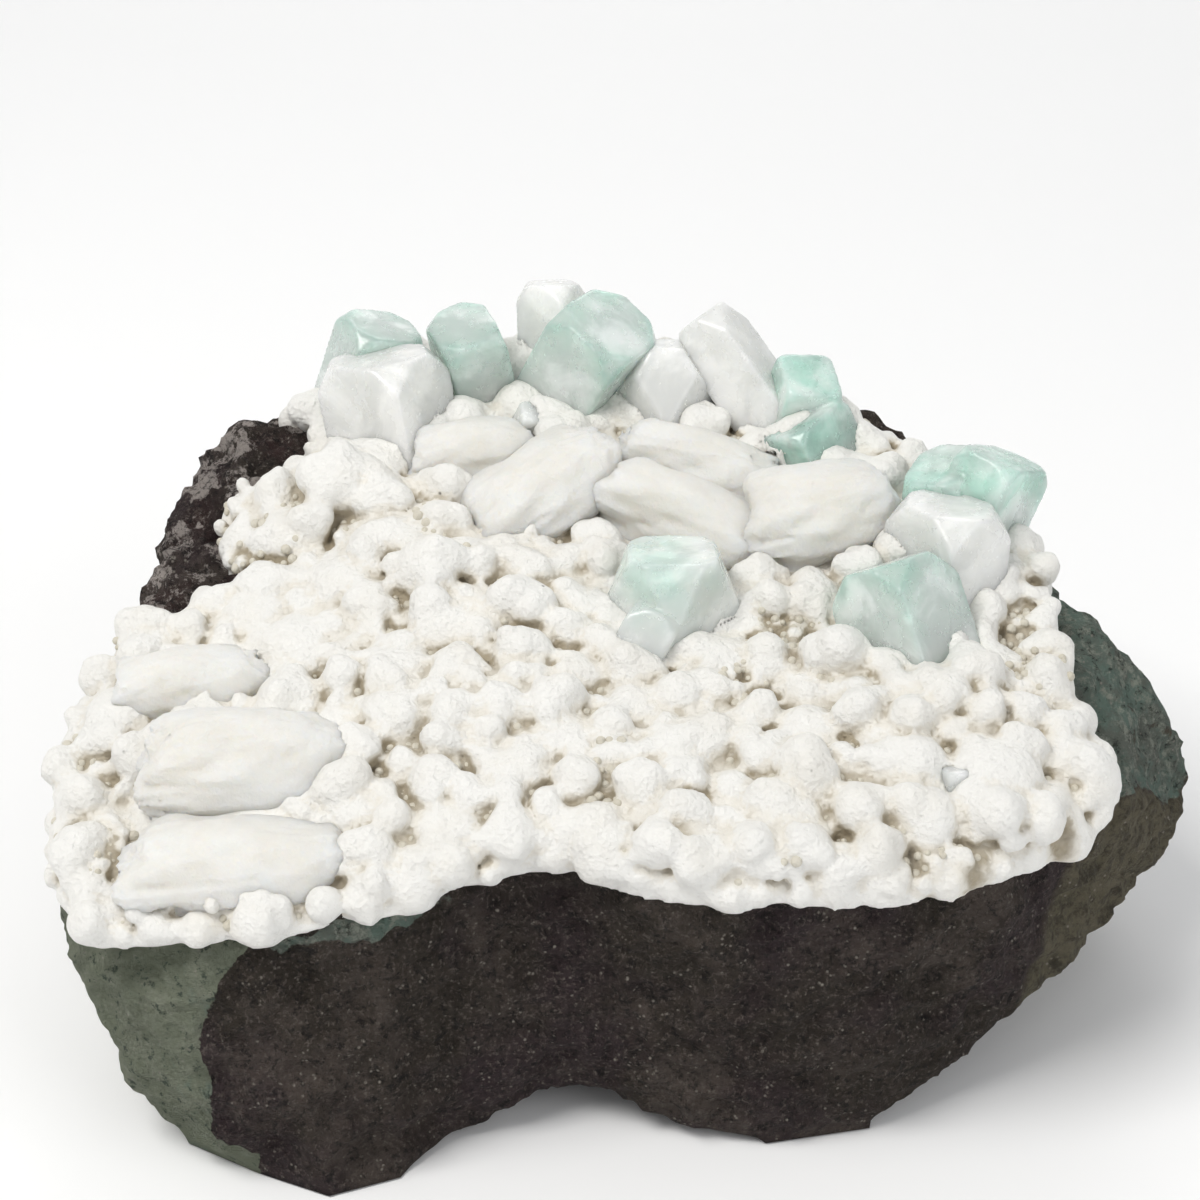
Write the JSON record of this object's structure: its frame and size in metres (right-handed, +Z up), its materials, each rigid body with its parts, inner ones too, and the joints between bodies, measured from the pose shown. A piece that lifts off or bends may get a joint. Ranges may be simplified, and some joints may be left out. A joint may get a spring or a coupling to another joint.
{
  "type": "apophyllite specimen",
  "caption": "Mineral cluster: pale green blocky apophyllite and cream stilbite crystals grown on a white botryoidal crust over a dark basalt block that rests on its flat sole.",
  "frame": {"origin": "on the flat sole under the block, below the middle of the specimen", "axes": "+X from left to right along the front, +Y from the front to the back, +Z up"},
  "size_m": [0.157, 0.1138, 0.084],
  "materials": {
    "basalt": "dull rough fracture, grey-green on the left flank and the right ledge",
    "crust": "white to cream rounded balls with a soft sheen",
    "apophyllite": "pale mint green, milky and see-through, glassy faces",
    "stilbite": "cream to grey-white, pearly and slightly see-through"
  },
  "bodies": {
    "root": {"basalt_matrix": "basalt", "botryoidal_crust": "crust", "apophyllite_left": "apophyllite", "apophyllite_back": "apophyllite", "apophyllite_centre": "apophyllite", "apophyllite_back_right": "apophyllite", "apophyllite_right": "apophyllite", "apophyllite_front": "apophyllite", "apophyllite_middle": "apophyllite", "small_prism_back": "apophyllite", "small_prism_front": "apophyllite", "stilbite_block_left": "stilbite", "stilbite_block_back": "stilbite", "stilbite_blade_centre": "stilbite", "stilbite_block_centre": "stilbite", "stilbite_block_right": "stilbite", "stilbite_sheaf_left": "stilbite", "stilbite_sheaf_front_left": "stilbite", "stilbite_sheaf_far_left": "stilbite", "stilbite_sheaf_back_left": "stilbite", "stilbite_sheaf_middle": "stilbite", "stilbite_sheaf_centre": "stilbite", "stilbite_sheaf_behind": "stilbite", "stilbite_sheaf_centre_right": "stilbite"}
  },
  "joints": []
}
